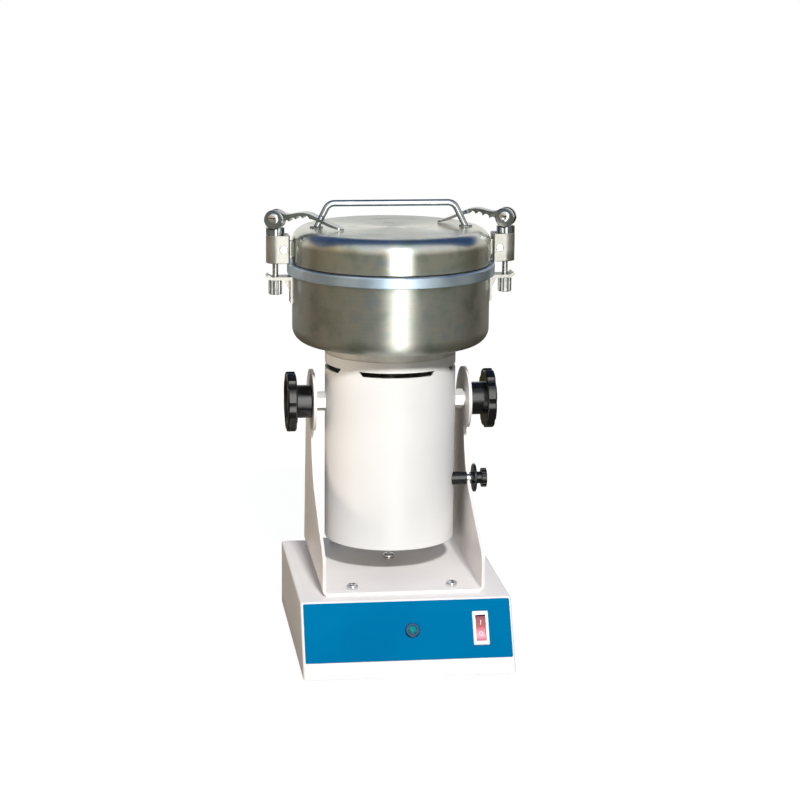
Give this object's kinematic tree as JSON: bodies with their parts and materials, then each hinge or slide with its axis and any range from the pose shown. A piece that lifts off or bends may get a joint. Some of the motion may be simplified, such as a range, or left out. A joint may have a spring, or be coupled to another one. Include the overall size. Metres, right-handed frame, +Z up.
{
  "type": "disintegrator mill",
  "caption": "Tilting disintegrator mill: lidded steel grinding bowl on an upright motor housing, swung between the arms of a yoke on a sheet metal base with a switch and pilot lamp.",
  "frame": {"origin": "middle of the whole object's box, on the surface that it stands on", "axes": "+Z up, -Y towards the front panel, +X to the right as seen from the front"},
  "size_m": [0.2506, 0.2734, 0.4355],
  "materials": {
    "white_paint": "semi-gloss",
    "housing_paint": "semi-gloss",
    "blue_panel": "satin",
    "zinc": "satin",
    "stainless": "brushed",
    "chrome": "polished",
    "cast_aluminium": "satin",
    "black_bakelite": "gloss",
    "black_steel": "gloss",
    "red_plastic": "gloss",
    "white_plastic": "gloss",
    "green_lens": "gloss",
    "black_plastic": "matte",
    "black_rubber": "matte",
    "core_steel": "dull",
    "fan_plastic": "matte",
    "shaft_steel": "ground"
  },
  "bodies": {
    "stand": {"base_shell": "white_paint", "base_bottom_plate": "zinc", "base_screws": "zinc", "rubber_feet": "black_rubber", "front_panel": "blue_panel", "pilot_lamp_body": "chrome", "pilot_lamp_lens": "green_lens", "switch_frame": "white_plastic", "power_inlet": "black_plastic", "yoke_bracket": "white_paint", "yoke_bolts": "chrome"},
    "rocker": {"switch_rocker": "red_plastic"},
    "mill": {"motor_housing": "housing_paint", "lower_end_shield": "cast_aluminium", "upper_end_shield": "cast_aluminium", "lower_bearing": "zinc", "upper_bearing": "zinc", "stator": "core_steel", "lock_boss": "black_steel", "left_trunnion_stud": "chrome", "right_trunnion_stud": "chrome", "trunnion_nuts": "zinc", "bowl": "stainless", "bowl_rim_ring": "stainless", "bowl_screws": "zinc", "shaft_seal": "black_rubber", "lid_gasket": "black_rubber", "lid": "stainless", "lid_handle": "chrome", "left_lid_ear": "stainless", "right_lid_ear": "stainless", "left_clamp_block": "stainless", "right_clamp_block": "stainless", "clamp_pins": "chrome", "left_cam_saddle": "chrome", "right_cam_saddle": "chrome", "left_clamp_rod": "chrome", "right_clamp_rod": "chrome", "left_bowl_catch": "stainless", "right_bowl_catch": "stainless"},
    "rotor": {"motor_shaft": "shaft_steel", "rotor_core": "core_steel", "cooling_fan": "fan_plastic", "blade_collar": "stainless", "lower_blade": "stainless", "blade_spacer": "stainless", "upper_blade": "stainless", "blade_nut": "chrome"},
    "left_knob": {"left_swing_knob": "black_bakelite"},
    "right_knob": {"right_swing_knob": "black_bakelite"},
    "lock": {"lock_screw": "chrome", "lock_wheel": "black_steel", "lock_end_knob": "black_bakelite"},
    "left_lever": {"left_cam_lever": "chrome", "left_cam_pin": "chrome"},
    "right_lever": {"right_cam_lever": "chrome", "right_cam_pin": "chrome"},
    "left_nut": {"left_clamp_nut": "chrome"},
    "right_nut": {"right_clamp_nut": "chrome"}
  },
  "joints": [
    {"name": "mill_tilt", "type": "hinge", "parent": "stand", "child": "mill", "pos_m": [0, 0.03425, 0.2346], "axis": [1, 0, 0], "range_deg": [-60, 100]},
    {"name": "rotor_spin", "type": "hinge", "parent": "mill", "child": "rotor", "pos_m": [0, 0.03425, 0.2], "axis": [0, 0, 1], "continuous": true},
    {"name": "left_knob_turn", "type": "hinge", "parent": "mill", "child": "left_knob", "pos_m": [-0.09, 0.03425, 0.2346], "axis": [-1, 0, 0], "range_deg": [0, 360]},
    {"name": "right_knob_turn", "type": "hinge", "parent": "mill", "child": "right_knob", "pos_m": [0.09, 0.03425, 0.2346], "axis": [1, 0, 0], "range_deg": [0, 360]},
    {"name": "lock_turn", "type": "hinge", "parent": "stand", "child": "lock", "pos_m": [0.085, 0.01425, 0.1573], "axis": [1, 0, 0], "range_deg": [0, 360]},
    {"name": "left_lever_open", "type": "hinge", "parent": "mill", "child": "left_lever", "pos_m": [-0.1142, 0.03425, 0.41835], "axis": [-0.3746, -0.9272, 0], "range_deg": [0, 165]},
    {"name": "right_lever_open", "type": "hinge", "parent": "mill", "child": "right_lever", "pos_m": [0.1142, 0.03425, 0.41835], "axis": [0.3746, 0.9272, 0], "range_deg": [0, 165]},
    {"name": "left_nut_turn", "type": "hinge", "parent": "mill", "child": "left_nut", "pos_m": [-0.1142, 0.03425, 0.35], "axis": [0, 0, -1], "range_deg": [-360, 360]},
    {"name": "right_nut_turn", "type": "hinge", "parent": "mill", "child": "right_nut", "pos_m": [0.1142, 0.03425, 0.35], "axis": [0, 0, -1], "range_deg": [-360, 360]},
    {"name": "rocker_switch", "type": "hinge", "parent": "stand", "child": "rocker", "pos_m": [0.07, -0.11322, 0.04042], "axis": [1, 0, 0], "range_deg": [-14, 0]}
  ]
}
